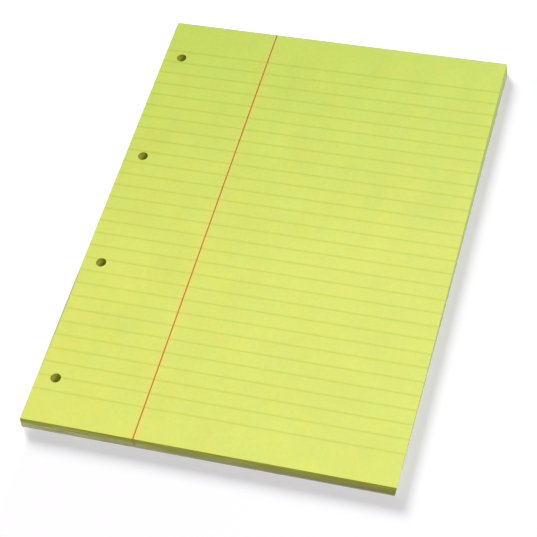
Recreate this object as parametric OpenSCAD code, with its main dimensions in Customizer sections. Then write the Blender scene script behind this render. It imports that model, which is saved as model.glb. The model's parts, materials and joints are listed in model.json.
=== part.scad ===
// Legal pad: ruled yellow sheets gummed along the head to a grey backing board and
// punched down the left edge for a ring binder.
// It lies flat with its head towards +Y. The origin is at the middle of its underside.

/* [Sheets] */
// Width of a sheet, along the rules
sheet_w = 210; // [180:1:300]
// Length of a sheet, from head to foot
sheet_l = 297; // [280:1:420]
// Thickness of one sheet
sheet_t = 0.1; // [0.06:0.01:0.2]
// Number of sheets in the block
sheet_count = 80; // [20:1:160]

/* [Backing board] */
// Thickness of the board under the sheets
board_t = 1.1; // [0.5:0.1:3]

/* [Head gum] */
// Thickness of the film of gum brushed over the head edge
gum_t = 0.3; // [0.25:0.05:1]
// Radius of the rounded edges of the film
gum_round = 0.2; // [0.05:0.05:0.2]

/* [Punched holes] */
// Diameter of a hole
hole_d = 6; // [4:0.1:8]
// Distance between the centres of two neighbouring holes
hole_pitch = 80; // [60:1:90]
// Distance from the left edge to the centres of the holes
hole_inset = 11; // [8:0.5:16]
// Number of holes, spread evenly about the middle of the left edge
hole_count = 4; // [2:1:4]

/* [Ruling] */
// Distance from the head edge to the first feint rule
head_space = 23.25; // [10:0.25:60]
// Least distance from the last feint rule to the foot edge
foot_space = 18; // [5:0.5:60]
// Distance from one feint rule to the next
rule_pitch = 9.05; // [5:0.05:12]
// Width of a feint rule
rule_w = 0.5; // [0.1:0.05:0.8]
// Distance from the left edge to the middle of the margin rule
margin_inset = 65.25; // [25:0.25:100]
// Width of the margin rule
margin_w = 0.75; // [0.1:0.05:1]
// Thickness of the printed ink
ink_t = 0.04; // [0.02:0.01:0.1]

/* [Hidden] */

// Each cutter runs past the surface that it cuts by this much
cut_past = 1;
round_faces = 64;

paper_yellow = "#dce573";
board_grey = "#bcbaaf";
gum_cream = "#e6e2c4";
feint_green = "#c5d15b";
margin_red = "#c26927";

block_t = sheet_count * sheet_t;
pad_t = board_t + block_t;

left_x = -sheet_w / 2;
foot_y = -(sheet_l + gum_t) / 2;
head_y = foot_y + sheet_l;
middle_y = (foot_y + head_y) / 2;

hole_x = left_x + hole_inset;
margin_x = left_x + margin_inset;
first_rule_y = head_y - head_space;
rule_count = floor((sheet_l - head_space - foot_space) / rule_pitch) + 1;

// A slab as wide and as long as the sheets, from one height up to another
module sheet_slab(bottom, top) {
    translate([left_x, foot_y, bottom])
        cube([sheet_w, sheet_l, top - bottom]);
}

// The row of binder holes, drilled through everything it is given
module punched() {
    difference() {
        children();
        for (i = [0 : hole_count - 1])
            translate([hole_x, middle_y + (i - (hole_count - 1) / 2) * hole_pitch, -cut_past])
                cylinder(h = pad_t + ink_t + 2 * cut_past, d = hole_d, $fn = round_faces);
    }
}

// The ink of the margin rule, made thicker and longer by the given overrun where it cuts
module margin_strip(past = 0) {
    translate([margin_x - margin_w / 2, foot_y - past, pad_t - past])
        cube([margin_w, sheet_l + 2 * past, ink_t + 2 * past]);
}

// Section of the gum film, from the head edge outwards, with its two outer edges rounded
module gum_section() {
    flat_t = gum_t - gum_round;
    intersection() {
        square([gum_t, pad_t]);
        union() {
            square([flat_t, pad_t]);
            translate([0, gum_round])
                square([gum_t, pad_t - 2 * gum_round]);
            for (height = [gum_round, pad_t - gum_round])
                translate([flat_t, height])
                    circle(r = gum_round, $fn = round_faces);
        }
    }
}

// All the sheets as one block
module sheet_block() {
    color(paper_yellow)
        punched()
            sheet_slab(board_t, pad_t);
}

module backing_board() {
    color(board_grey)
        punched()
            sheet_slab(0, board_t);
}

// The film holds the head edges of the sheets and of the board, over their whole width
module head_gum() {
    color(gum_cream)
        translate([left_x, head_y, 0])
            rotate([90, 0, 90])
                linear_extrude(sheet_w)
                    gum_section();
}

// Rules across the top sheet, broken where the margin rule and the holes pass
module feint_rules() {
    color(feint_green)
        punched()
            difference() {
                for (i = [0 : rule_count - 1])
                    translate([left_x, first_rule_y - i * rule_pitch - rule_w / 2, pad_t])
                        cube([sheet_w, rule_w, ink_t]);
                margin_strip(cut_past);
            }
}

module margin_rule() {
    color(margin_red)
        punched()
            margin_strip();
}

sheet_block();
backing_board();
head_gum();
feint_rules();
margin_rule();
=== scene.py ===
"""Dresses the legal pad: trimmed leaves, grey board, head gum and print, on a pale table."""

import json
import logging
import math
from contextlib import contextmanager
from dataclasses import dataclass, field
from enum import Enum, IntEnum
from typing import Any, Callable, Iterator, Protocol, Sequence

import bmesh
import bpy
from mathutils import Matrix, Vector


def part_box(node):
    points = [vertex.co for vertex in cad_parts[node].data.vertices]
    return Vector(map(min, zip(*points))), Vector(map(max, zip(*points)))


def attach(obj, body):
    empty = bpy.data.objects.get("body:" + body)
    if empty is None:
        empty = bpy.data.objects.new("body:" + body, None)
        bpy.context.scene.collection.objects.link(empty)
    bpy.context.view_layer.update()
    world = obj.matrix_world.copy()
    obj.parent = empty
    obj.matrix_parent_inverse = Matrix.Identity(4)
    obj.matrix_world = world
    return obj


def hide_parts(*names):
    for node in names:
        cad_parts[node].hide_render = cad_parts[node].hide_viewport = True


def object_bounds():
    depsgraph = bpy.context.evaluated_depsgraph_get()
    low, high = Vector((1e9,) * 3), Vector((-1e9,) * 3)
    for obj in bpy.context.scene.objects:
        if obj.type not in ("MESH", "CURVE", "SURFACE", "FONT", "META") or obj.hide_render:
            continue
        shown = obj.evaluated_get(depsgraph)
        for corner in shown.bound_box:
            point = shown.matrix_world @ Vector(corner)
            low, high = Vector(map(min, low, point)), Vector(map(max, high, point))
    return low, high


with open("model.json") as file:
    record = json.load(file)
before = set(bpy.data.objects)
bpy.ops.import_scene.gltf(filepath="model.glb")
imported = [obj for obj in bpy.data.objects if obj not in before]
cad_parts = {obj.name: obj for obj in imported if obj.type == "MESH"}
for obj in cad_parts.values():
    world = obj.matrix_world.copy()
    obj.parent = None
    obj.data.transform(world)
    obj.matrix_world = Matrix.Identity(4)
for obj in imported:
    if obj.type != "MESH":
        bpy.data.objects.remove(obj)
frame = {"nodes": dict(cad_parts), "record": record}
CAD_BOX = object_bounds()

MM = 0.001
HALF = 0.5
BODY = "root"
log = logging.getLogger("legal_pad")

Colour = tuple[float, float, float]
Size = tuple[float, float, float]
Range = tuple[float, float]
Piece = bpy.types.Object
Socket = bpy.types.NodeSocket

WHITE: Colour = (1, 1, 1)

# Directions on the pad as it lies
RIGHT = Vector((1, 0, 0))
UP_SHEET = Vector((0, 1, 0))
UP = Vector((0, 0, 1))

# How squarely a face or an edge has to lie to count as lying one way
FACING = 0.9

# Middle stretches of a noise that goes from 0 to 1
WIDE: Range = (0.2, 0.8)
BROAD: Range = (0.3, 0.7)
NARROW: Range = (0.35, 0.65)
TIGHT: Range = (0.4, 0.6)


class Element(Enum):
    """What a selection in edit mode is made of, by its name in a mesh."""

    VERTS = "verts"
    EDGES = "edges"
    FACES = "faces"


class Tool(Enum):
    """A modifier that shapes a piece, by Blender's name for it."""

    ARRAY = "ARRAY"
    BEVEL = "BEVEL"
    BOOLEAN = "BOOLEAN"
    DISPLACE = "DISPLACE"
    LATTICE = "LATTICE"


class Push(Enum):
    """Which way marks go into a piece, by Blender's name for it."""

    SQUARE = "NORMAL"
    BACK = "Y"


class Axis(IntEnum):
    """A direction of the pad's sides, by its place in a vector."""

    ACROSS = 0
    ALONG = 1
    UPRIGHT = 2


class LeafSide(IntEnum):
    """A kind of surface on the leaves, by the place of its finish among their materials."""

    TRIMMED = 0
    TOP = 1
    DRILLED = 2


class Sum(Enum):
    """What a node works out from two numbers, by Blender's name for it."""

    ADD = "ADD"
    SUBTRACT = "SUBTRACT"
    MULTIPLY = "MULTIPLY"
    DIVIDE = "DIVIDE"
    LARGER = "MAXIMUM"
    UNSIGNED = "ABSOLUTE"
    ZIGZAG = "PINGPONG"


class Blend(Enum):
    """How one colour goes over another, by Blender's name for it."""

    COVER = "MIX"
    TINT = "MULTIPLY"


SELECT_MODES = {Element.VERTS: "VERT", Element.EDGES: "EDGE", Element.FACES: "FACE"}


class Bench:
    """The modelling bench: selection, edit mode and modifiers on one piece at a time."""

    @staticmethod
    def clear() -> None:
        """Leaves nothing selected."""
        bpy.ops.object.select_all(action="DESELECT")

    @staticmethod
    def take(piece: Piece) -> None:
        """Makes a piece the only selected object, and the active one.

        Args:
            piece: The piece to work on.
        """
        Bench.clear()
        piece.select_set(True)
        bpy.context.view_layer.objects.active = piece

    @staticmethod
    def slab(name: str, low: Vector, high: Vector) -> Piece:
        """Adds a cube primitive and fits it to a box.

        Args:
            name: Name of the new piece.
            low: Lowest corner of the box, in metres.
            high: Highest corner of the box, in metres.

        Returns:
            The piece, at the origin, with its place in its mesh.
        """
        Bench.clear()
        bpy.ops.mesh.primitive_cube_add(size=1, location=(low + high) / 2)
        piece = bpy.context.object
        piece.name = name
        piece.data.name = name
        piece.scale = high - low
        bpy.ops.object.transform_apply(location=True, rotation=True, scale=True)
        return piece

    @staticmethod
    @contextmanager
    def editing(piece: Piece) -> Iterator[None]:
        """Holds a piece in edit mode for the length of a with block.

        Args:
            piece: The piece to edit.

        Yields:
            Nothing, while the piece is in edit mode.
        """
        Bench.take(piece)
        bpy.ops.object.mode_set(mode="EDIT")
        yield
        bpy.ops.object.mode_set(mode="OBJECT")

    @staticmethod
    def pick(piece: Piece, element: Element, test: Callable[[Any], bool]) -> None:
        """Selects parts of the mesh in edit mode.

        Args:
            piece: The piece that is in edit mode.
            element: What is selected.
            test: Says whether an element is wanted.
        """
        bpy.ops.mesh.select_mode(type=SELECT_MODES[element])
        bpy.ops.mesh.select_all(action="DESELECT")
        mesh = bmesh.from_edit_mesh(piece.data)
        for item in getattr(mesh, element.value):
            item.select_set(test(item))
        mesh.select_flush_mode()
        bmesh.update_edit_mesh(piece.data)

    @staticmethod
    def lies_along(edge: Any, axis: Axis) -> bool:
        """True for an edge of a mesh in edit mode that runs along an axis."""
        way = edge.verts[1].co - edge.verts[0].co
        return abs(way[axis]) > FACING * way.length

    @staticmethod
    def modify(piece: Piece, tool: Tool, **settings: Any) -> None:
        """Adds a modifier and applies it.

        Args:
            piece: The piece to shape.
            tool: The kind of modifier.
            **settings: What is set on the modifier, by Blender's names.
        """
        Bench.take(piece)
        modifier = piece.modifiers.new(tool.name.lower(), tool.value)
        for name, value in settings.items():
            setattr(modifier, name, value)
        bpy.ops.object.modifier_apply(modifier=modifier.name)

    @staticmethod
    def scrap(helper: Piece) -> None:
        """Deletes a helper object."""
        Bench.take(helper)
        bpy.ops.object.delete()


@dataclass(frozen=True)
class Marks:
    """Long uneven marks in a piece: their size in millimetres, and the noise level that stays flat."""

    name: str
    size: Size
    depth: float
    level: float
    way: Push
    octaves: int = 2

    def press(self, piece: Piece, start: Vector, points: list[int]) -> None:
        """Presses the marks into some points of a piece.

        Args:
            piece: The piece that takes the marks.
            start: Where their pattern starts, in metres.
            points: Numbers of the points that take them.
        """
        group = piece.vertex_groups.new(name=self.name)
        group.add(points, 1, "REPLACE")
        grain = bpy.data.textures.new(self.name, "CLOUDS")
        grain.noise_scale = 1
        grain.noise_depth = self.octaves
        Bench.clear()
        bpy.ops.object.empty_add(location=start)
        ruler = bpy.context.object
        ruler.scale = Vector(self.size) * MM
        bpy.context.view_layer.update()
        Bench.modify(
            piece, Tool.DISPLACE, texture=grain, texture_coords="OBJECT", texture_coords_object=ruler,
            direction=self.way.value, strength=self.depth, mid_level=self.level, vertex_group=group.name,
        )
        Bench.scrap(ruler)
        piece.vertex_groups.clear()


@dataclass(frozen=True)
class Cloud:
    """Soft noise: the size of its blotches in millimetres, how fine it goes and how harsh it is."""

    size: Size
    detail: float = 2
    roughness: float = 0.5


LEAF_LINES = Cloud((25, 25, 0.12), detail=1)


@dataclass(frozen=True)
class Fibres:
    """Fibres of one colour in the board: their spacing in millimetres, and how many and how wide they are."""

    colour: Colour
    spacing: Size
    share: float
    reach: float
    show: float
    spill: float = 0.01
    core: float = 0.6


class Recipe:
    """The nodes of one material, laid out from its surface back to its patterns."""

    def __init__(self, name: str) -> None:
        """Starts a material with one principled surface.

        Args:
            name: Name of the new material.
        """
        self.material = bpy.data.materials.new(name)
        self.material.use_nodes = True
        self.tree = self.material.node_tree
        self.nodes = self.tree.nodes
        self.surface = self.nodes["Principled BSDF"]
        self.place = self.nodes.new("ShaderNodeTexCoord").outputs["Object"]

    def feed(self, value: Any, socket: Socket) -> None:
        """Links an output to a socket, or sets a plain value on it.

        Args:
            value: An output of another node, a number, a colour or a vector.
            socket: The socket that takes it.
        """
        if isinstance(value, Socket):
            self.tree.links.new(value, socket)
        elif isinstance(value, (tuple, Vector)) and socket.type == "RGBA":
            socket.default_value = (*value, 1)
        else:
            socket.default_value = value

    def set(self, **values: Any) -> None:
        """Feeds sockets of the surface, named with underscores for spaces."""
        for name, value in values.items():
            self.feed(value, self.surface.inputs[name.replace("_", " ")])

    def stretched(self, size: Size) -> Socket:
        """Measures places in units of a grain.

        Args:
            size: The grain's size along each axis, in millimetres.

        Returns:
            The places in those units.
        """
        node = self.nodes.new("ShaderNodeMapping")
        self.feed(self.place, node.inputs["Vector"])
        node.inputs["Scale"].default_value = [1 / length for length in Vector(size) * MM]
        return node.outputs["Vector"]

    def clouds(self, cloud: Cloud) -> Socket:
        """Spreads soft noise over the surface.

        Args:
            cloud: The noise.

        Returns:
            The noise, from 0 to 1.
        """
        node = self.nodes.new("ShaderNodeTexNoise")
        self.feed(self.stretched(cloud.size), node.inputs["Vector"])
        node.inputs["Scale"].default_value = 1
        node.inputs["Detail"].default_value = cloud.detail
        node.inputs["Roughness"].default_value = cloud.roughness
        return node.outputs["Fac"]

    def flecks(self, fibres: Fibres) -> Socket:
        """Scatters fibres over the surface.

        Args:
            fibres: The fibres.

        Returns:
            A mask, 1 inside a fibre and 0 outside.
        """
        node = self.nodes.new("ShaderNodeTexVoronoi")
        self.feed(self.stretched(fibres.spacing), node.inputs["Vector"])
        node.inputs["Scale"].default_value = 1
        split = self.nodes.new("ShaderNodeSeparateColor")
        self.feed(node.outputs["Color"], split.inputs["Color"])
        most, least = fibres.share + fibres.spill, fibres.share - fibres.spill
        chosen = self.between(split.outputs["Red"], most, least)
        inside = self.between(node.outputs["Distance"], fibres.reach, fibres.reach * fibres.core)
        return self.maths(Sum.MULTIPLY, chosen, inside)

    def dot(self, vector: Socket, way: Vector) -> Socket:
        """Measures a vector along a direction.

        Args:
            vector: The vector at each place.
            way: The direction.

        Returns:
            Its length along the direction.
        """
        node = self.nodes.new("ShaderNodeVectorMath")
        node.operation = "DOT_PRODUCT"
        self.feed(vector, node.inputs[0])
        node.inputs[1].default_value = way
        return node.outputs["Value"]

    def along(self, way: Vector) -> Socket:
        """How far a place lies along a direction from the origin, in metres."""
        return self.dot(self.place, way)

    def facing(self, way: Vector) -> Socket:
        """How squarely the surface faces a direction, from -1 to 1."""
        return self.dot(self.nodes.new("ShaderNodeNewGeometry").outputs["Normal"], way)

    def away(self) -> Socket:
        """Measures how far a place lies from the origin.

        Returns:
            The distance, in metres.
        """
        node = self.nodes.new("ShaderNodeVectorMath")
        node.operation = "LENGTH"
        self.feed(self.place, node.inputs[0])
        return node.outputs["Value"]

    def dim(self, colour: Any, share: Any) -> Socket:
        """Makes a colour darker or lighter.

        Args:
            colour: The colour to change.
            share: What it is multiplied by.

        Returns:
            The changed colour.
        """
        node = self.nodes.new("ShaderNodeVectorMath")
        node.operation = "SCALE"
        self.feed(colour, node.inputs[0])
        self.feed(share, node.inputs["Scale"])
        return node.outputs["Vector"]

    def between(self, value: Any, low: float, high: float, to_low: Any = 0, to_high: Any = 1) -> Socket:
        """Stretches a value from one range to another, and clamps it.

        Args:
            value: The value to stretch.
            low: The value that becomes to_low.
            high: The value that becomes to_high, which may be less than low.
            to_low: Where the new range starts.
            to_high: Where the new range ends.

        Returns:
            The stretched value.
        """
        node = self.nodes.new("ShaderNodeMapRange")
        ends = {"From Min": low, "From Max": high, "To Min": to_low, "To Max": to_high}
        for name, number in {"Value": value, **ends}.items():
            self.feed(number, node.inputs[name])
        return node.outputs["Result"]

    def maths(self, operation: Sum, first: Any, second: Any) -> Socket:
        """Works out one sum on two numbers.

        Args:
            operation: The sum.
            first: The first number.
            second: The second number, which some sums ignore.

        Returns:
            The result.
        """
        node = self.nodes.new("ShaderNodeMath")
        node.operation = operation.value
        self.feed(first, node.inputs[0])
        self.feed(second, node.inputs[1])
        return node.outputs["Value"]

    def blended(self, first: Socket, second: Socket, share: float) -> Socket:
        """Adds up two patterns.

        Args:
            first: The first pattern.
            second: The second pattern.
            share: The first pattern's part of the whole.

        Returns:
            A pattern with the same range as the two.
        """
        first_part = self.maths(Sum.MULTIPLY, first, share)
        second_part = self.maths(Sum.MULTIPLY, second, 1 - share)
        return self.maths(Sum.ADD, first_part, second_part)

    def mix(self, share: Any, under: Any, over: Any, blend: Blend = Blend.COVER) -> Socket:
        """Lays one colour over another.

        Args:
            share: How much of the upper colour shows, from 0 to 1.
            under: The lower colour.
            over: The upper colour.
            blend: How the upper colour goes over the lower one.

        Returns:
            The mixed colour.
        """
        node = self.nodes.new("ShaderNodeMix")
        node.data_type = "RGBA"
        node.blend_type = blend.value
        lower, upper = (socket for socket in node.inputs if socket.type == "RGBA")
        self.feed(share, node.inputs["Factor"])
        self.feed(under, lower)
        self.feed(over, upper)
        return next(socket for socket in node.outputs if socket.type == "RGBA")

    def relief(self, height: Any, depth: float, strength: float) -> None:
        """Raises the surface by a bump.

        Args:
            height: The pattern of the bump.
            depth: How high it goes, in metres.
            strength: How much of it shows.
        """
        node = self.nodes.new("ShaderNodeBump")
        node.inputs["Strength"].default_value = strength
        node.inputs["Distance"].default_value = depth
        self.feed(height, node.inputs["Height"])
        self.feed(node.outputs["Normal"], self.surface.inputs["Normal"])


class Finish(Protocol):
    """Whatever makes the material of a surface."""

    def material(self) -> bpy.types.Material:
        """Makes the material."""


def cover(piece: Piece, *finishes: Finish) -> None:
    """Gives a piece its finishes in place of any that it has.

    Args:
        piece: The piece to cover.
        *finishes: Its finishes, in the order of its materials.
    """
    piece.data.materials.clear()
    for finish in finishes:
        piece.data.materials.append(finish.material())


@dataclass(frozen=True)
class Ruling:
    """Where the print lies on every leaf, for the finishes that show its traces."""

    margin: float
    first: float
    last: float
    count: int = 29

    @classmethod
    def from_frame(cls, rule_width: float) -> "Ruling":
        """Reads the middles of the rules from the boxes of the frame's print.

        Args:
            rule_width: Width of a feint rule, in metres.

        Returns:
            The ruling of the pad.
        """
        margin_low, margin_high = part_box("margin_rule")
        rules_low, rules_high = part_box("feint_rules")
        margin = (margin_low.x + margin_high.x) / 2
        return cls(margin, rules_high.y - rule_width / 2, rules_low.y + rule_width / 2)

    def from_margin(self, recipe: Recipe) -> Socket:
        """Distance from the middle of the margin rule, in metres."""
        off = recipe.maths(Sum.SUBTRACT, recipe.along(RIGHT), self.margin)
        return recipe.maths(Sum.UNSIGNED, off, 0)

    def from_rule(self, recipe: Recipe) -> Socket:
        """Measures how far a place lies from the nearest feint rule.

        Args:
            recipe: The material that asks.

        Returns:
            The distance from the middle of the rule, in metres.
        """
        pitch = (self.first - self.last) / (self.count - 1)
        height = recipe.along(UP_SHEET)
        steps = recipe.maths(Sum.DIVIDE, recipe.maths(Sum.SUBTRACT, height, self.last), pitch)
        nearest = recipe.maths(Sum.MULTIPLY, recipe.maths(Sum.ZIGZAG, steps, HALF), pitch)
        above = recipe.maths(Sum.SUBTRACT, height, self.first)
        below = recipe.maths(Sum.SUBTRACT, self.last, height)
        return recipe.maths(Sum.LARGER, nearest, recipe.maths(Sum.LARGER, above, below))


@dataclass(frozen=True)
class Trace:
    """A trace that a printed rule leaves round itself: full in its core, and gone at its reach."""

    tint: Colour
    reach: float
    core: float
    share: float

    def lay(self, recipe: Recipe, under: Socket, beside: Socket, blend: Blend) -> Socket:
        """Lays the trace over a colour.

        Args:
            recipe: The material that shows the trace.
            under: The colour under it.
            beside: Distance from the middle of the rule, in metres.
            blend: How the trace goes over the colour.

        Returns:
            The colour with the trace.
        """
        share = recipe.between(beside, self.reach, self.core, 0, self.share)
        return recipe.mix(share, under, self.tint, blend)


@dataclass(frozen=True)
class LeftEdgeStrip:
    """A darker, greyer strip along the top leaf's left edge, between its top and its foot."""

    left: float
    tint: Colour = (0.56, 0.555, 1.05)
    reach: float = 1.3 * MM
    core: float = 0.3 * MM
    top: float = -42 * MM
    start: float = -54 * MM
    end: float = -80 * MM
    foot: float = -122 * MM
    share: float = 0.9

    def darken_strip(self, recipe: Recipe, under: Socket) -> Socket:
        """Darkens and greys the paper's tone along the strip.

        Args:
            recipe: The material of the paper.
            under: The tone without the strip.

        Returns:
            The darkened tone.
        """
        reach, core = self.left + self.reach, self.left + self.core
        edge = recipe.between(recipe.along(RIGHT), reach, core, 0, self.share)
        above = recipe.between(recipe.along(UP_SHEET), self.top, self.start)
        below = recipe.between(recipe.along(UP_SHEET), self.foot, self.end)
        share = recipe.maths(Sum.MULTIPLY, edge, recipe.maths(Sum.MULTIPLY, above, below))
        return recipe.mix(share, under, self.tint, Blend.TINT)


@dataclass(frozen=True)
class PaperTone:
    """The lime yellow of the paper itself, with painted light: lighter and paler towards the foot, and a
    painted light tint that is warmer at the left and bluer at the right.
    """

    shaded_yellow: Colour = (0.591, 0.730, 0.121)
    lit_yellow: Colour = (0.761, 0.825, 0.168)
    way: Vector = field(default_factory=lambda: Vector((0.32, -0.947, 0)))
    start: float = -173.5 * MM
    end: float = 28.3 * MM
    left_light_tint: Colour = (1.020, 1.010, 0.965)
    right_light_tint: Colour = (1.003, 1.018, 1.120)
    half_width: float = 105 * MM

    def lay(self, recipe: Recipe) -> Socket:
        """Works out the tone at each place of the top leaf.

        Args:
            recipe: The material that shows it.

        Returns:
            The tone.
        """
        # Painted light: darker and greener at the head's left, lighter and paler at the foot's right
        painted_light_share = recipe.between(recipe.along(self.way), self.start, self.end)
        # Painted light tint across the leaf: warmer at the left, bluer at the right
        across = recipe.between(recipe.along(RIGHT), -self.half_width, self.half_width)
        light_tint = recipe.mix(across, self.left_light_tint, self.right_light_tint)
        return recipe.mix(1, recipe.mix(painted_light_share, self.shaded_yellow, self.lit_yellow), light_tint, Blend.TINT)


@dataclass(frozen=True)
class PaperFace:
    """Uncoated writing paper, cloudy, a little bled into by the print, with painted light in its tone and a
    darker strip along the left edge.
    """

    ruling: Ruling
    left_strip: LeftEdgeStrip
    blush: Trace = Trace((1.25, 0.90, 1.12), reach=3.2 * MM, core=1.0 * MM, share=0.62)
    bleed: Trace = Trace((0.899, 0.923, 0.746), reach=1.3 * MM, core=0.25 * MM, share=0.6)
    warm: Colour = (1.030, 0.998, 0.950)
    cool: Colour = (0.970, 1.002, 1.050)
    drift: Cloud = Cloud((13, 15, 13))
    cloud: Cloud = Cloud((18, 24, 18), detail=3)
    flock: Cloud = Cloud((2.2, 3.0, 2.2), detail=3, roughness=0.6)
    fibre: Cloud = Cloud((0.25, 0.7, 0.25), roughness=0.7)
    cloud_share: float = 0.6
    fibre_show: float = 0.12
    mottling: float = 0.04
    roughness: Range = (0.82, 0.95)
    gloss: float = 0.25
    flock_rise: float = 0.5
    tooth: float = 0.02 * MM
    tooth_strength: float = 0.35

    def material(self) -> bpy.types.Material:
        """Makes the finish of the top leaf's face.

        Returns:
            The material.
        """
        recipe = Recipe("yellow_paper_face")
        cloud, flock, fibre = (recipe.clouds(noise) for noise in (self.cloud, self.flock, self.fibre))
        fuzz = recipe.between(fibre, *WIDE, -self.fibre_show, self.fibre_show)
        shade = recipe.maths(Sum.ADD, recipe.blended(cloud, flock, self.cloud_share), fuzz)
        mottle = recipe.between(shade, *BROAD, 1 - self.mottling, 1 + self.mottling)
        recipe.set(
            Base_Color=recipe.dim(self.tone_and_painted_light(recipe), mottle),
            Roughness=recipe.between(fibre, *WIDE, *self.roughness),
            Specular_IOR_Level=self.gloss,
        )
        height = recipe.maths(Sum.ADD, fibre, recipe.maths(Sum.MULTIPLY, flock, self.flock_rise))
        recipe.relief(height, self.tooth, self.tooth_strength)
        return recipe.material

    def tone_and_painted_light(self, recipe: Recipe) -> Socket:
        """Works out the paper's tone, with a little of each ink soaked in beside its rules.

        Args:
            recipe: The material of the paper.

        Returns:
            The tone with its painted light, its drifting hue, its ink stains and its darker left strip.
        """
        hue = recipe.mix(recipe.between(recipe.clouds(self.drift), *BROAD), self.warm, self.cool)
        # The base tone carries painted light: lighter towards the foot, bluer at the right
        tone = recipe.mix(1, PaperTone().lay(recipe), hue, Blend.TINT)
        tone = self.blush.lay(recipe, tone, self.ruling.from_margin(recipe), Blend.TINT)
        tone = self.bleed.lay(recipe, tone, self.ruling.from_rule(recipe), Blend.TINT)
        return self.left_strip.darken_strip(recipe, tone)


@dataclass(frozen=True)
class PaperEdge:
    """Cut edges of many leaves: streaked and marked where print comes out at them. Painted shade keeps every
    side but the right darker than the paper, and near the board they are painted paler at the left and darker
    at the right.
    """

    low: Vector
    high: Vector
    ruling: Ruling
    shaded_pale: Colour = (0.446, 0.465, 0.069)
    shaded_dark: Colour = (0.342, 0.361, 0.047)
    # Painted bounce light (pale) and painted shade (dark) near the board
    painted_light_pale: Colour = (0.735, 0.735, 0.435)
    painted_shade_dark: Colour = (0.245, 0.243, 0.150)
    painted_rise: Range = (-0.15, 0.8)
    patches: Range = (0.45, 1.25)
    fore_lit: Colour = (0.610, 0.690, 0.270)
    fore_deep: Colour = (0.520, 0.600, 0.220)
    fore_turn: Range = (0.5, 0.8)
    red_ends: Trace = Trace((0.300, 0.110, 0.045), reach=0.9 * MM, core=0.35 * MM, share=0.42)
    green_ends: Trace = Trace((0.300, 0.340, 0.045), reach=0.6 * MM, core=0.2 * MM, share=0.22)
    streak: Cloud = Cloud((30, 30, 1.5))
    line: Cloud = LEAF_LINES
    streak_share: float = 0.7
    roughness: Range = (0.85, 0.97)
    gloss: float = 0.15
    ridge: float = 0.03 * MM
    ridge_strength: float = 0.4

    def material(self) -> bpy.types.Material:
        """Makes the finish of the block's trimmed sides.

        Returns:
            The material.
        """
        recipe = Recipe("yellow_paper_edge")
        streak = recipe.clouds(self.streak)
        line = recipe.clouds(self.line)
        both = recipe.blended(streak, line, self.streak_share)
        # Painted shade: the front, left and head edges take these darker streak colours
        colour = recipe.mix(recipe.between(both, *TIGHT), self.shaded_dark, self.shaded_pale)
        colour = self.painted_near_board(recipe, colour, streak)
        # The right edge keeps the lighter edge colour, without the painted shade
        right_colour = recipe.mix(recipe.between(both, *NARROW), self.fore_deep, self.fore_lit)
        colour = recipe.mix(self.unshaded_right_edge(recipe), colour, right_colour)
        colour = self.red_ends.lay(recipe, colour, self.ruling.from_margin(recipe), Blend.COVER)
        colour = self.green_ends.lay(recipe, colour, self.ruling.from_rule(recipe), Blend.COVER)
        recipe.set(
            Base_Color=colour,
            Roughness=recipe.between(line, *BROAD, *self.roughness),
            Specular_IOR_Level=self.gloss,
        )
        recipe.relief(line, self.ridge, self.ridge_strength)
        return recipe.material

    def painted_near_board(self, recipe: Recipe, under: Socket, streak: Socket) -> Socket:
        """Paints the edges near the board with light and shade: paler and greyer at the left as painted
        bounce light, and darker at the right as painted shade.

        Args:
            recipe: The material of the edges.
            under: The colour without it.
            streak: The streaks that it follows.

        Returns:
            The painted colour.
        """
        across = recipe.between(recipe.along(RIGHT), self.low.x, self.high.x)
        # Painted bounce light at the left and painted shade at the right, stronger towards the board
        painted_low_colour = recipe.mix(across, self.painted_light_pale, self.painted_shade_dark)
        depth = recipe.between(recipe.along(UP), self.high.z, self.low.z, *self.painted_rise)
        patches = recipe.between(streak, *TIGHT, *self.patches)
        return recipe.mix(recipe.maths(Sum.MULTIPLY, depth, patches), under, painted_low_colour)

    def unshaded_right_edge(self, recipe: Recipe) -> Socket:
        """Finds the right edge, which keeps its lighter colour while the others take painted shade.

        Args:
            recipe: The material of the edges.

        Returns:
            A mask, 1 on that edge and 0 on the others.
        """
        turned = recipe.between(recipe.facing(RIGHT), *self.fore_turn)
        beyond = recipe.between(recipe.along(RIGHT), 0, self.high.x / 2)
        return recipe.maths(Sum.MULTIPLY, turned, beyond)


@dataclass(frozen=True)
class DrilledWall:
    """Walls of the holes, with painted light and shade: dark painted shade at the rim, lighter painted light
    further down.
    """

    low: Vector
    high: Vector
    rim: Colour = (0.362, 0.385, 0.024)
    heart: Colour = (0.800, 0.825, 0.170)
    line: Cloud = LEAF_LINES
    streaks: float = 0.12
    roughness: Range = (0.75, 0.9)
    gloss: float = 0.2

    def material(self) -> bpy.types.Material:
        """Makes the finish of the leaves inside the holes.

        Returns:
            The material.
        """
        recipe = Recipe("yellow_paper_drilled")
        line = recipe.clouds(self.line)
        # Painted shade at the rim, fading to painted light deeper in the hole
        depth = recipe.between(recipe.along(UP), self.high.z, self.low.z)
        streaks = recipe.between(line, *BROAD, 1 - self.streaks, 1 + self.streaks)
        recipe.set(
            Base_Color=recipe.dim(recipe.mix(depth, self.rim, self.heart), streaks),
            Roughness=recipe.between(line, *BROAD, *self.roughness),
            Specular_IOR_Level=self.gloss,
        )
        return recipe.material


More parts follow.
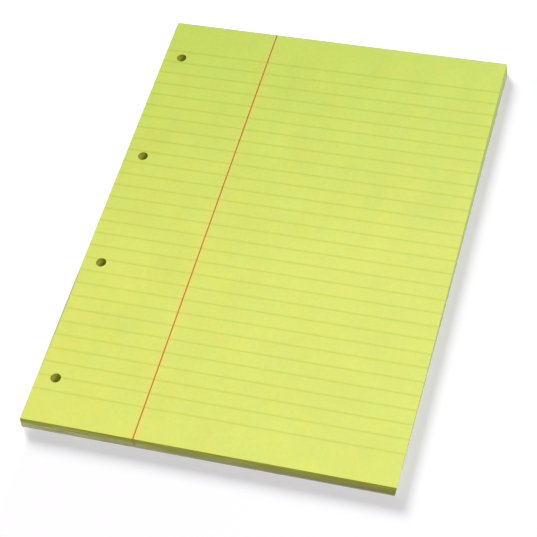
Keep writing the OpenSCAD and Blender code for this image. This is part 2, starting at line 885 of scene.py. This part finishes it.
@dataclass(frozen=True)
class GreyBoard:
    """Recycled grey board, with pale and dark fibres pressed into it."""

    ground: Colour = (0.540, 0.525, 0.460)
    shade: Colour = (0.450, 0.438, 0.385)
    pale: Fibres = Fibres((0.720, 0.700, 0.620), (1.3, 4.5, 1.3), share=0.25, reach=0.22, show=0.6)
    dark: Fibres = Fibres((0.230, 0.222, 0.198), (3.6, 1.1, 1.1), share=0.16, reach=0.20, show=0.7)
    cloud: Cloud = Cloud((9, 12, 9), detail=4, roughness=0.6)
    grain: Cloud = Cloud((0.5, 0.9, 0.25), detail=3, roughness=0.7)
    felt: Range = (0.55, 0.8)
    felt_show: float = 0.5
    roughness: Range = (0.8, 0.95)
    gloss: float = 0.2
    tooth: float = 0.05 * MM
    tooth_strength: float = 0.5

    def material(self) -> bpy.types.Material:
        """Makes the finish of the backing board.

        Returns:
            The material.
        """
        recipe = Recipe("grey_board")
        cloud, grain = recipe.clouds(self.cloud), recipe.clouds(self.grain)
        colour = recipe.mix(recipe.between(cloud, *NARROW), self.shade, self.ground)
        felt = recipe.between(grain, *self.felt, 0, self.felt_show)
        colour = recipe.mix(felt, colour, self.pale.colour)
        pale, dark = recipe.flecks(self.pale), recipe.flecks(self.dark)
        for mask, fibres in ((pale, self.pale), (dark, self.dark)):
            colour = recipe.mix(recipe.maths(Sum.MULTIPLY, mask, fibres.show), colour, fibres.colour)
        recipe.set(
            Base_Color=colour,
            Roughness=recipe.between(grain, *WIDE, *self.roughness),
            Specular_IOR_Level=self.gloss,
        )
        recipe.relief(recipe.maths(Sum.ADD, grain, pale), self.tooth, self.tooth_strength)
        return recipe.material


@dataclass(frozen=True)
class PaddingGum:
    """A milky film of brushed gum, through which the yellow edges show."""

    milky: Colour = (0.740, 0.735, 0.380)
    clear: Colour = (0.560, 0.585, 0.150)
    brush: Cloud = Cloud((45, 45, 0.6), detail=3, roughness=0.6)
    pool: Cloud = Cloud((12, 12, 5))
    brush_share: float = 0.6
    roughness: Range = (0.28, 0.5)
    coat: float = 0.25
    coat_roughness: float = 0.2
    bristle: float = 0.06 * MM
    bristle_strength: float = 0.6

    def material(self) -> bpy.types.Material:
        """Makes the finish of the film on the head edge.

        Returns:
            The material.
        """
        recipe = Recipe("padding_gum")
        brush = recipe.clouds(self.brush)
        film = recipe.blended(brush, recipe.clouds(self.pool), self.brush_share)
        recipe.set(
            Base_Color=recipe.mix(recipe.between(film, *NARROW), self.clear, self.milky),
            Roughness=recipe.between(brush, *BROAD, *self.roughness),
            Coat_Weight=self.coat,
            Coat_Roughness=self.coat_roughness,
        )
        recipe.relief(brush, self.bristle, self.bristle_strength)
        return recipe.material


@dataclass(frozen=True)
class PrintedInk:
    """A printed line whose thin ink tints the paper under it, unevenly."""

    name: str
    full: Colour
    thin: Colour
    drift: Cloud = Cloud((30, 30, 30))
    grain: Cloud = Cloud((0.35, 0.35, 0.35), roughness=0.6)
    drift_share: float = 0.5
    roughness: Range = (0.7, 0.85)
    gloss: float = 0.25

    def material(self) -> bpy.types.Material:
        """Makes the finish of one printing ink.

        Returns:
            The material.
        """
        recipe = Recipe(self.name)
        drift, grain = recipe.clouds(self.drift), recipe.clouds(self.grain)
        ink = recipe.blended(drift, grain, self.drift_share)
        tint = recipe.mix(recipe.between(ink, *NARROW), self.thin, self.full)
        recipe.set(
            # The paper tone under the ink carries the paper's painted light
            Base_Color=recipe.mix(1, PaperTone().lay(recipe), tint, Blend.TINT),
            Roughness=recipe.between(grain, *BROAD, *self.roughness),
            Specular_IOR_Level=self.gloss,
        )
        return recipe.material


FEINT_INK = PrintedInk("feint_ink", full=(0.840, 0.873, 0.678), thin=(0.899, 0.920, 0.783))
MARGIN_INK = PrintedInk("margin_ink", full=(0.53, 0.28, 0.04), thin=(0.61, 0.35, 0.07))


@dataclass
class Punching:
    """The row of binder holes that goes through leaves and board alike."""

    centres: list[Vector]
    radius: float
    top: float
    walls: int = 40
    past: float = 2 * MM
    near: float = 1.2

    @classmethod
    def from_record(cls, record: dict[str, Any], top: float) -> "Punching":
        """Reads the holes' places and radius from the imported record's bore mounts.

        Args:
            record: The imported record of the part.
            top: Height of the pad, in metres.

        Returns:
            The punching for the whole pad.
        """
        bores = [mount for mount in record["mounts"] if mount["kind"] == "bore"]
        return cls([Vector(bore["pos_m"]) for bore in bores], bores[0]["dims"]["r_mm"] * MM, top)

    def is_wall(self, place: Vector) -> bool:
        """True for a point on or near the wall of a hole."""
        return any((place - centre).xy.length < self.radius * self.near for centre in self.centres)

    def drill(self, piece: Piece) -> None:
        """Bores the holes through a piece, with bits that reach from over the pad to under its board.

        Args:
            piece: The piece to bore.
        """
        bits = []
        for centre in self.centres:
            Bench.clear()
            bpy.ops.mesh.primitive_cylinder_add(
                vertices=self.walls, radius=self.radius, depth=self.top + 2 * self.past,
                location=(centre.x, centre.y, self.top / 2),
            )
            bits.append(bpy.context.object)
        Bench.take(bits[0])
        for bit in bits:
            bit.select_set(True)
        bpy.ops.object.join()
        Bench.modify(piece, Tool.BOOLEAN, operation="DIFFERENCE", solver="EXACT", object=bits[0])
        Bench.scrap(bits[0])


@dataclass
class KnifeDraw:
    """How the knife's pull left the lower leaves: shifted to the left at the foot, hardly at the head."""

    low: Vector
    high: Vector
    right_at_head: float = -0.3 * MM
    right_at_foot: float = 1.55 * MM
    left_at_head: float = 0.0
    left_at_foot: float = 1.15 * MM
    columns: int = 31
    outermost: float = 0.49
    cage: Piece | None = None

    def set_up(self) -> None:
        """Puts a lattice cage round the pad and shifts its lower corners to the left."""
        Bench.clear()
        bpy.ops.object.add(type="LATTICE", location=(self.low + self.high) / 2)
        self.cage = bpy.context.object
        self.cage.scale = self.high - self.low
        lattice = self.cage.data
        lattice.points_u = self.columns
        lattice.interpolation_type_u = "KEY_LINEAR"
        lattice.interpolation_type_v = "KEY_LINEAR"
        lattice.interpolation_type_w = "KEY_LINEAR"
        width = self.high.x - self.low.x
        for point in lattice.points:
            if point.co.z < 0:
                point.co_deform.x -= self.shift(point.co) / width

    def shift(self, corner: Vector) -> float:
        """Says how far a lower point of the cage goes to the left: only the outermost columns do.

        Args:
            corner: The point, in parts of the cage.

        Returns:
            The shift, in metres.
        """
        if corner.x > self.outermost:
            return self.right_at_head if corner.y > 0 else self.right_at_foot
        if corner.x < -self.outermost:
            return self.left_at_head if corner.y > 0 else self.left_at_foot
        return 0.0

    def lean(self, piece: Piece) -> None:
        """Leans a piece's sides as the knife left them."""
        Bench.modify(piece, Tool.LATTICE, object=self.cage)

    def put_away(self) -> None:
        """Deletes the cage."""
        Bench.scrap(self.cage)


@dataclass
class LeafBlock:
    """The block of ruled leaves: one closed solid whose sides show every leaf."""

    low: Vector
    high: Vector
    leaves: int = 80
    rule_width: float = 0.5 * MM
    groove: float = 0.025 * MM
    side_cuts: int = 31
    end_cuts: int = 23
    merge_share: float = 0.02
    ripple: Marks = Marks("leaf_streaks", (70, 70, 0.6), depth=0.10 * MM, level=0.6, way=Push.SQUARE)

    def build(self, punching: Punching, draw: KnifeDraw) -> Piece:
        """Models the rim of one leaf, stacks it and closes the block.

        Args:
            punching: The holes down the left edge.
            draw: The lean that the knife left.

        Returns:
            The finished block, without its materials.
        """
        pitch = (self.high.z - self.low.z) / self.leaves
        leaf_high = Vector((self.high.x, self.high.y, self.low.z + pitch))
        block = Bench.slab("leaf_block", self.low, leaf_high)
        punching.drill(block)
        self.shape_rim(block, punching, pitch)
        Bench.modify(
            block, Tool.ARRAY, count=self.leaves, use_relative_offset=False, use_constant_offset=True,
            constant_offset_displace=UP * pitch, use_merge_vertices=True,
            merge_threshold=pitch * self.merge_share,
        )
        self.unsettle(block, punching)
        self.close(block, pitch)
        draw.lean(block)
        return block

    def shape_rim(self, block: Piece, punching: Punching, pitch: float) -> None:
        """Opens one leaf to a rim, cuts it into stretches and gives it a ridge along the middle.

        Args:
            block: The slab of one leaf.
            punching: The holes, whose walls are not cut.
            pitch: Thickness of a leaf, in metres.
        """
        middle = self.low.z + pitch / 2
        with Bench.editing(block):
            Bench.pick(block, Element.FACES, lambda face: abs(face.normal.z) > FACING)
            bpy.ops.mesh.delete(type="FACE")
            for axis, cuts in ((Axis.ALONG, self.side_cuts), (Axis.ACROSS, self.end_cuts)):
                Bench.pick(block, Element.EDGES, lambda edge: self.runs(edge, axis, punching))
                bpy.ops.mesh.subdivide(number_cuts=cuts)
            Bench.pick(block, Element.EDGES, lambda edge: Bench.lies_along(edge, Axis.UPRIGHT))
            bpy.ops.mesh.subdivide(number_cuts=1)
            bpy.ops.mesh.select_all(action="SELECT")
            bpy.ops.mesh.normals_make_consistent(inside=False)
            Bench.pick(block, Element.VERTS, lambda vert: abs(vert.co.z - middle) > pitch / 4)
            bpy.ops.transform.shrink_fatten(value=-self.groove, use_even_offset=True)

    @staticmethod
    def runs(edge: Any, axis: Axis, punching: Punching) -> bool:
        """True for an edge of the outline that lies along an axis."""
        return not punching.is_wall(edge.verts[0].co) and Bench.lies_along(edge, axis)

    def unsettle(self, block: Piece, punching: Punching) -> None:
        """Lets the leaves lie a hair unevenly at the trimmed sides, in long thin streaks."""
        sides = [vert.index for vert in block.data.vertices if not punching.is_wall(vert.co)]
        self.ripple.press(block, self.low, sides)

    def close(self, block: Piece, pitch: float) -> None:
        """Fills the top face and the underside, round the holes.

        Args:
            block: The open stack of leaves.
            pitch: Thickness of a leaf, in metres.
        """
        with Bench.editing(block):
            for level in (self.low.z, self.high.z):
                Bench.pick(block, Element.EDGES, lambda edge: self.rims(edge, level, 2 * pitch))
                bpy.ops.transform.resize(value=(1, 1, 0), center_override=(0, 0, level))
                bpy.ops.mesh.fill()
            bpy.ops.mesh.select_all(action="SELECT")
            bpy.ops.mesh.normals_make_consistent(inside=False)

    @staticmethod
    def rims(edge: Any, level: float, slack: float) -> bool:
        """True for an open edge at a level."""
        return edge.is_boundary and all(abs(vert.co.z - level) < slack for vert in edge.verts)

    def dress(self, block: Piece, punching: Punching) -> None:
        """Gives the trimmed edges, the top face and the drilled walls their finishes.

        Args:
            block: The finished block.
            punching: The holes in it.
        """
        ruling = Ruling.from_frame(self.rule_width)
        cover(
            block,
            PaperEdge(self.low, self.high, ruling),
            PaperFace(ruling, LeftEdgeStrip(self.low.x)),
            DrilledWall(self.low, self.high),
        )
        for polygon in block.data.polygons:
            if abs(polygon.normal.z) > FACING:
                polygon.material_index = LeafSide.TOP
            elif punching.is_wall(polygon.center):
                polygon.material_index = LeafSide.DRILLED
        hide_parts("sheet_block")
        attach(block, BODY)


@dataclass
class BackingBoard:
    """The grey board under the leaves, its edges crushed a little by knife and drill."""

    low: Vector
    high: Vector
    crush: float = 0.08 * MM
    crush_steps: int = 2
    crush_angle: float = math.radians(50)

    def build(self, punching: Punching, draw: KnifeDraw) -> Piece:
        """Models the board, punched and trimmed with the leaves.

        Args:
            punching: The holes down the left edge.
            draw: The lean that the knife left.

        Returns:
            The finished board, without its material.
        """
        board = Bench.slab("grey_backing_board", self.low, self.high)
        punching.drill(board)
        Bench.modify(
            board, Tool.BEVEL, width=self.crush, segments=self.crush_steps,
            limit_method="ANGLE", angle_limit=self.crush_angle,
        )
        draw.lean(board)
        for polygon in board.data.polygons:
            polygon.use_smooth = punching.is_wall(polygon.center)
        return board

    def dress(self, board: Piece) -> None:
        """Gives the board its finish.

        Args:
            board: The finished board.
        """
        cover(board, GreyBoard())
        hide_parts("backing_board")
        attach(board, BODY)


@dataclass
class HeadGum:
    """The film of gum brushed over the head edge."""

    low: Vector
    high: Vector
    width_cuts: int = 119
    height_cuts: int = 11
    edge_round: float = 0.12 * MM
    round_steps: int = 2
    round_angle: float = math.radians(60)
    smooth_angle: float = math.radians(40)
    brushing: Marks = Marks("brush_marks", (30, 30, 1.1), depth=0.10 * MM, level=0.9, way=Push.BACK)

    def build(self, draw: KnifeDraw) -> Piece:
        """Models the film with its rounded edges and the marks of the brush.

        Args:
            draw: The lean that the knife left.

        Returns:
            The finished film, without its material.
        """
        film = Bench.slab("gum_film", self.low, self.high)
        with Bench.editing(film):
            for axis, cuts in ((Axis.ACROSS, self.width_cuts), (Axis.UPRIGHT, self.height_cuts)):
                Bench.pick(film, Element.EDGES, lambda edge: Bench.lies_along(edge, axis))
                bpy.ops.mesh.subdivide(number_cuts=cuts)
        Bench.modify(
            film, Tool.BEVEL, width=self.edge_round, segments=self.round_steps,
            limit_method="ANGLE", angle_limit=self.round_angle,
        )
        self.brush(film)
        draw.lean(film)
        Bench.take(film)
        bpy.ops.object.shade_smooth_by_angle(angle=self.smooth_angle)
        return film

    def brush(self, film: Piece) -> None:
        """Sinks long brush marks into the film's outer face.

        Args:
            film: The film with its rounded edges.
        """
        outer = self.high.y - self.edge_round / 2
        face = [vert.index for vert in film.data.vertices if vert.co.y > outer]
        self.brushing.press(film, self.low, face)

    def dress(self, film: Piece) -> None:
        """Gives the film its finish.

        Args:
            film: The finished film.
        """
        cover(film, PaddingGum())
        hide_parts("head_gum")
        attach(film, BODY)


@dataclass
class Print:
    """The printed rules on the top leaf, whose shape is already in the frame."""

    inks: dict[str, PrintedInk] = field(
        default_factory=lambda: {"feint_rules": FEINT_INK, "margin_rule": MARGIN_INK}
    )

    def dress(self) -> None:
        """Gives each set of rules its ink."""
        for node, ink in self.inks.items():
            rules = frame["nodes"][node]
            cover(rules, ink)
            report(rules)


@dataclass(frozen=True)
class Lamp:
    """A round soft box over the table."""

    name: str
    place: Vector
    aim: Vector
    width: float
    watts: float

    def hang(self) -> None:
        """Hangs the lamp and turns it to what it lights."""
        light = bpy.data.lights.new(self.name, "AREA")
        light.shape = "DISK"
        light.size = self.width
        light.energy = self.watts
        lamp = bpy.data.objects.new(self.name, light)
        bpy.context.scene.collection.objects.link(lamp)
        lamp.location = self.place
        lamp.rotation_euler = (self.aim - self.place).to_track_quat("-Z", "Y").to_euler()
        lamp.visible_camera = False


def towards(azimuth: float, elevation: float, distance: float) -> Vector:
    """Works out the offset to a place.

    Args:
        azimuth: Its angle from +Y towards +X, in degrees.
        elevation: Its angle over the table, in degrees.
        distance: How far off it is, in metres.

    Returns:
        The offset.
    """
    turn, rise = math.radians(azimuth), math.radians(elevation)
    level = math.cos(rise)
    return distance * Vector((math.sin(turn) * level, math.cos(turn) * level, math.sin(rise)))


def watched(tree: bpy.types.NodeTree) -> Socket:
    """Tells what the eye sees, straight or in a reflection or glass, from light that only falls.

    Args:
        tree: The nodes of a material or of the world.

    Returns:
        A mask, 1 for the eye and 0 for other light.
    """
    path = tree.nodes.new("ShaderNodeLightPath").outputs
    seen = path["Is Camera Ray"]
    for ray in ("Is Glossy Ray", "Is Transmission Ray"):
        either = tree.nodes.new("ShaderNodeMath")
        either.operation = Sum.LARGER.value
        tree.links.new(seen, either.inputs[0])
        tree.links.new(path[ray], either.inputs[1])
        seen = either.outputs["Value"]
    return seen


@dataclass
class Stage:
    """The pale table, the soft light and the camera."""

    top: float
    floor_size: float = 8
    floor_colour: Colour = (0.965, 0.965, 0.965)
    floor_roughness: float = 0.9
    floor_gloss: float = 0.1
    # Painted tint over the pad's shadow: a bluish glow that offsets the yellow-green bounce there
    floor_tint: Colour = (0.93, 0.78, 1.33)
    floor_glow: float = 0.08
    floor_near: float = 0.35
    floor_far: float = 0.9
    # Painted light: the glow past the left and head edges
    bright_colour: Colour = WHITE
    bright_glow: float = 0.5
    bright_soft: float = 10 * MM
    bright_off: float = 4 * MM
    bright_head: float = 7 * MM
    sky: float = 0.17
    frame_pixels: int = 537
    focal_pixels: float = 1810.7
    sensor: float = 36
    aim: Vector = field(default_factory=lambda: Vector((2.22, -25.64, 8.3)) * MM)
    distance: float = 1025.6 * MM
    azimuth: float = 156.153
    elevation: float = 53.508
    roll: float = -10.556

    def build(self) -> None:
        """Sets the whole stage."""
        self.lay_floor()
        self.light_sky()
        for lamp in self.lamps():
            lamp.hang()
        self.set_camera()

    def lay_floor(self) -> None:
        """Lays the table, which is white to the eye and keeps the key's shadow of the pad; past the left and
        head edges a painted glow covers the other lamps' shadows.
        """
        Bench.clear()
        bpy.ops.mesh.primitive_plane_add(size=self.floor_size)
        floor = bpy.context.object
        floor.name = "table"
        recipe = Recipe("pale_table")
        # Painted light: past the left and head edges the glow rises to whiten the right-hand lamps' shadows
        painted_light_mask = self.painted_light_past_edges(recipe)
        glow = recipe.between(painted_light_mask, 0, 1, self.floor_glow, self.bright_glow)
        glow = recipe.between(recipe.away(), self.floor_near, self.floor_far, glow, 1)
        recipe.set(
            Base_Color=self.floor_colour,
            Roughness=self.floor_roughness,
            Specular_IOR_Level=self.floor_gloss,
            Emission_Color=recipe.mix(painted_light_mask, self.floor_tint, self.bright_colour),
            Emission_Strength=recipe.between(watched(recipe.tree), 0, 1, 0, glow),
        )
        floor.data.materials.append(recipe.material)

    def painted_light_past_edges(self, recipe: Recipe) -> Socket:
        """Finds the table beyond the pad's left and head edges, towards the key light, where a painted glow
        covers the shadows of the right-hand lamps.

        Args:
            recipe: The material of the table.

        Returns:
            A mask that rises from 0 to 1 past those edges.
        """
        low, high = CAD_BOX
        start = low[Axis.ACROSS] - self.bright_off
        head = high[Axis.ALONG]
        left_of = recipe.between(recipe.along(RIGHT), start + self.bright_soft, start)
        past_head = recipe.between(recipe.along(UP_SHEET), head, head + self.bright_head)
        return recipe.maths(Sum.LARGER, left_of, past_head)

    def light_sky(self) -> None:
        """Lights the room evenly, with a white background for the eye."""
        world = bpy.data.worlds.new("studio")
        bpy.context.scene.world = world
        world.use_nodes = True
        tree = world.node_tree
        strength = tree.nodes.new("ShaderNodeMapRange")
        tree.links.new(watched(tree), strength.inputs["Value"])
        strength.inputs["To Min"].default_value = self.sky
        strength.inputs["To Max"].default_value = 1
        background = tree.nodes["Background"]
        background.inputs["Color"].default_value = (*WHITE, 1)
        tree.links.new(strength.outputs["Result"], background.inputs["Strength"])

    def lamps(self) -> Sequence[Lamp]:
        """Places the lamps.

        Returns:
            The key from behind on the left, two soft ones on the right and a card before the left corner.
        """
        pad = Vector((0, 0, self.top))
        key = pad + towards(azimuth=-36, elevation=36.3, distance=9)
        right = pad + towards(azimuth=112, elevation=43, distance=2)
        fill = pad + towards(azimuth=140, elevation=62, distance=2.5)
        corner, near_corner = Vector((-0.05, -0.15, 0)), Vector((-0.35, -0.45, 0.12))
        return (
            Lamp("key_softbox", key, pad, width=4.0, watts=600),
            Lamp("right_softbox", right, pad, width=1.0, watts=17),
            Lamp("fill_softbox", fill, pad, width=1.0, watts=4.8),
            Lamp("corner_card", near_corner, corner, width=0.15, watts=0.15),
        )

    def set_camera(self) -> None:
        """Puts the camera where the photographer stood."""
        data = bpy.data.cameras.new("camera")
        data.sensor_width = self.sensor
        data.lens = self.focal_pixels / self.frame_pixels * self.sensor
        camera = bpy.data.objects.new("camera", data)
        bpy.context.scene.collection.objects.link(camera)
        back = towards(self.azimuth, self.elevation, distance=1)
        level = UP.cross(back).normalized()
        right = Matrix.Rotation(math.radians(-self.roll), 3, -back) @ level
        turn = Matrix((right, back.cross(right), back)).transposed()
        camera.matrix_world = Matrix.Translation(self.aim + self.distance * back) @ turn.to_4x4()
        bpy.context.scene.camera = camera


def report(piece: Piece) -> None:
    """Logs a finished piece with its size.

    Args:
        piece: The piece.
    """
    piece.data.calc_loop_triangles()
    size = " x ".join(f"{side / MM:.2f}" for side in piece.dimensions)
    log.info("%s: %s mm, %d triangles", piece.name, size, len(piece.data.loop_triangles))


def main() -> None:
    """Builds and dresses each piece in order, then sets the stage."""
    logging.basicConfig(level=logging.INFO, format="%(name)s: %(message)s")
    bpy.context.scene.view_settings.view_transform = "Standard"
    block_box, board_box, gum_box = map(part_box, ("sheet_block", "backing_board", "head_gum"))
    top = block_box[1].z
    punching = Punching.from_record(frame["record"], top)
    draw = KnifeDraw(board_box[0], block_box[1])
    draw.set_up()
    leaves = LeafBlock(*block_box)
    block = leaves.build(punching, draw)
    leaves.dress(block, punching)
    report(block)
    backing = BackingBoard(*board_box)
    board = backing.build(punching, draw)
    backing.dress(board)
    report(board)
    gum = HeadGum(*gum_box)
    film = gum.build(draw)
    gum.dress(film)
    report(film)
    draw.put_away()
    Print().dress()
    Stage(top).build()


if __name__ == "__main__":
    main()
